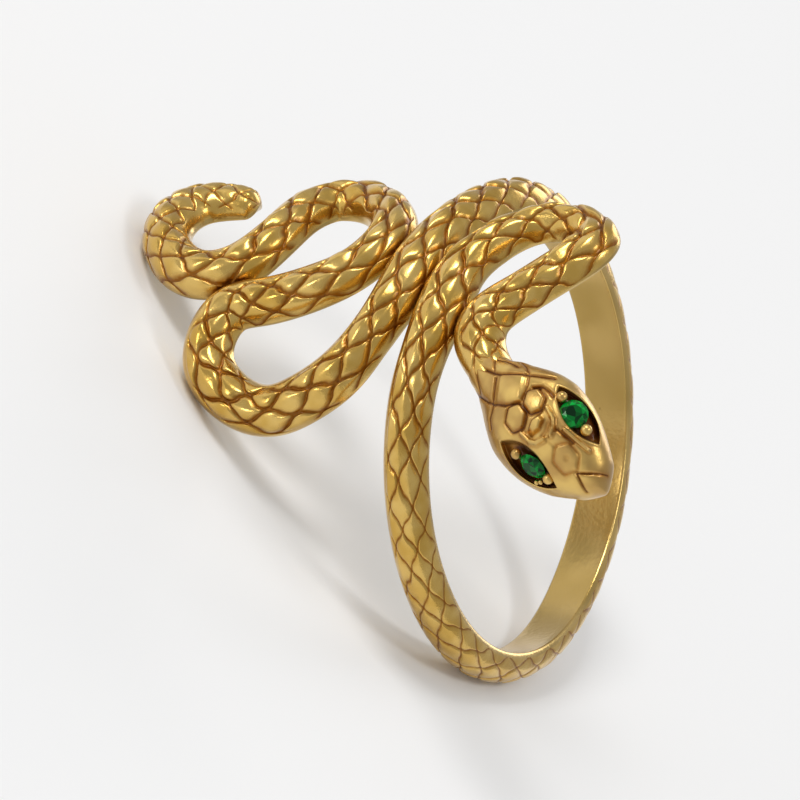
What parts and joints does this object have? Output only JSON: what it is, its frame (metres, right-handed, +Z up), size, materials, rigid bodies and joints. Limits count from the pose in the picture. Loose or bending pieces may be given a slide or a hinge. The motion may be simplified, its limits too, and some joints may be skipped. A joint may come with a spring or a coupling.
{
  "type": "snake wrap ring",
  "caption": "Cast finger ring shaped as a snake: a plain bored hoop, a coiled scaled body with a curled tail, and a head with two round faceted stone eyes.",
  "frame": {"origin": "middle of the ring's footprint, on the surface on which it lies", "axes": "+Z up from that surface, +X along the ring's longest side, from the hoop towards the tail"},
  "size_m": [0.0234, 0.0209, 0.0167],
  "materials": {
    "gold": "polished cast yellow gold with brown patina in the grooves",
    "green_stone": "faceted and polished"
  },
  "bodies": {
    "root": {"snake": "gold", "left_eye": "green_stone", "right_eye": "green_stone"}
  },
  "joints": []
}
